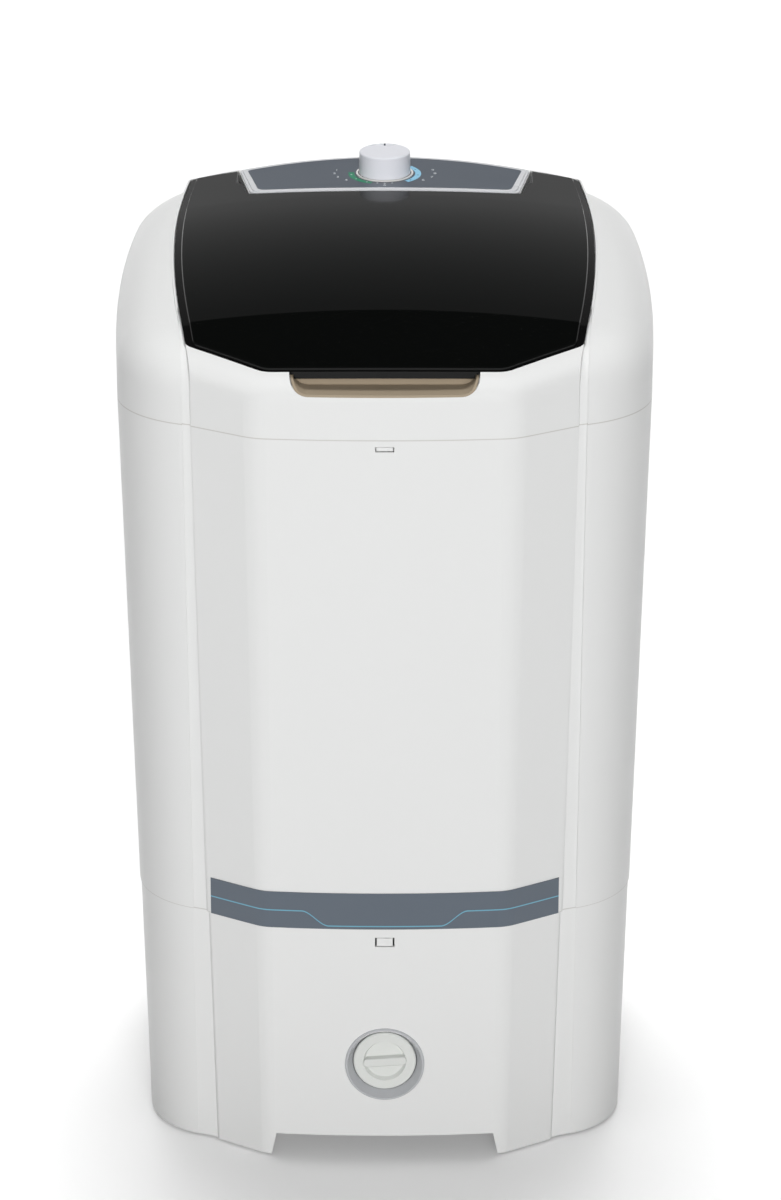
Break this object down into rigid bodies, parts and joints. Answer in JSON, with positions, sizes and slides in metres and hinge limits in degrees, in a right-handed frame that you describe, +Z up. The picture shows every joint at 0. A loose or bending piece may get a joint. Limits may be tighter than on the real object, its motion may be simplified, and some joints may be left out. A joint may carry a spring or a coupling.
{
  "type": "semi-automatic washing machine",
  "caption": "Upright top-loading washing machine with a tapering white body, hinged black lid, dial console, wash tub with pulsator and belt drive, and front drain filter.",
  "frame": {"origin": "centre of the footprint on the floor", "axes": "+Z up, +Y to the back, -Y to the front that the picture shows, +X to the right in the picture"},
  "size_m": [0.471, 0.47, 0.8316],
  "materials": {
    "white_shell": "smooth gloss",
    "black_frame": "gloss",
    "black_gloss": "mirror gloss",
    "steel": "zinc-plated",
    "grey_bracket": "fine matte",
    "rubber": "matte",
    "taupe": "satin",
    "pale_bezel": "satin",
    "blue_grey": "satin",
    "white_trim": "gloss",
    "knob_white": "gloss",
    "black_inner": "fine matte",
    "white_inner": "satin",
    "pulsator_blue": "satin",
    "cast_alloy": "as cast",
    "bronze": "sintered",
    "pulley_grey": "moulded",
    "motor_core": "varnished",
    "zinc_plate": "galvanised",
    "capacitor_white": "matte",
    "slate_band": "satin",
    "ring_grey": "satin",
    "cap_white": "gloss",
    "basket_grey": "moulded",
    "housing_grey": "moulded",
    "hose_grey": "matte"
  },
  "bodies": {
    "machine": {"top_cover": "white_shell", "cabinet": "white_shell", "base": "white_shell", "hinge_pins": "steel", "hinge_brackets": "grey_bracket", "hinge_screws": "steel", "lid_bumpers": "rubber", "finger_grip_insert": "taupe", "console_bezel": "pale_bezel", "fascia_panel": "blue_grey", "dial_ring": "white_trim", "timer_body": "black_inner", "timer_screws": "steel", "mouth_ring": "white_inner", "tub_seal": "rubber", "ring_screws": "steel", "wash_tub": "white_inner", "bearing_housing": "cast_alloy", "bearing_bushes": "bronze", "shaft_seal": "rubber", "housing_bolts": "steel", "drive_belt": "rubber", "motor_stator": "motor_core", "motor_caps": "cast_alloy", "motor_mounts": "rubber", "motor_bolts": "steel", "drive_frame": "zinc_plate", "frame_bolts": "steel", "run_capacitor": "capacitor_white", "capacitor_clip": "zinc_plate", "rubber_feet": "rubber", "front_band": "slate_band", "filter_ring": "ring_grey", "filter_housing": "housing_grey", "pump_motor": "black_inner", "drain_inlet_hose": "hose_grey", "hose_clamps": "steel", "drain_outlet_hose": "hose_grey", "outlet_spigot": "white_inner", "rear_access_cover": "white_inner", "access_cover_screws": "steel", "cable_gland": "black_inner"},
    "lid": {"lid_frame": "black_frame", "lid_panel": "black_gloss"},
    "knob": {"timer_knob": "knob_white", "timer_shaft": "steel"},
    "agitator": {"pulsator": "pulsator_blue", "pulsator_screw": "steel", "drive_shaft": "steel", "driven_pulley": "pulley_grey", "pulley_nut": "steel"},
    "rotor": {"rotor_shaft": "steel", "motor_pulley": "cast_alloy"},
    "impeller": {"pump_impeller": "black_inner"},
    "basket": {"filter_basket": "basket_grey"},
    "cap": {"filter_cap": "cap_white", "filter_seal": "rubber"}
  },
  "joints": [
    {"name": "lid_hinge", "type": "hinge", "parent": "machine", "child": "lid", "pos_m": [0, 0.175, 0.78949], "axis": [-1, 0, 0], "range_deg": [0, 95]},
    {"name": "knob_turn", "type": "hinge", "parent": "machine", "child": "knob", "pos_m": [0, 0.163, 0.80939], "axis": [0, -0.0569, 0.9984], "continuous": true},
    {"name": "pulsator_spin", "type": "hinge", "parent": "machine", "child": "agitator", "pos_m": [0, -0.01, 0.3], "axis": [0, 0, 1], "continuous": true},
    {"name": "motor_spin", "type": "hinge", "parent": "machine", "child": "rotor", "pos_m": [0, 0.138, 0.14], "axis": [0, 0, 1], "continuous": true},
    {"name": "pump_spin", "type": "hinge", "parent": "machine", "child": "impeller", "pos_m": [0, -0.12, 0.0956], "axis": [0, 1, 0], "continuous": true},
    {"name": "filter_slide", "type": "slide", "parent": "machine", "child": "basket", "axis": [0, -1, 0], "range_m": [0, 0.09]},
    {"name": "cap_turn", "type": "hinge", "parent": "basket", "child": "cap", "pos_m": [0, -0.21, 0.0956], "axis": [0, 1, 0], "range_deg": [0, 90]}
  ],
  "couplings": [
    {"joint": "motor_spin", "follows": "pulsator_spin", "ratio": 4.7158}
  ]
}
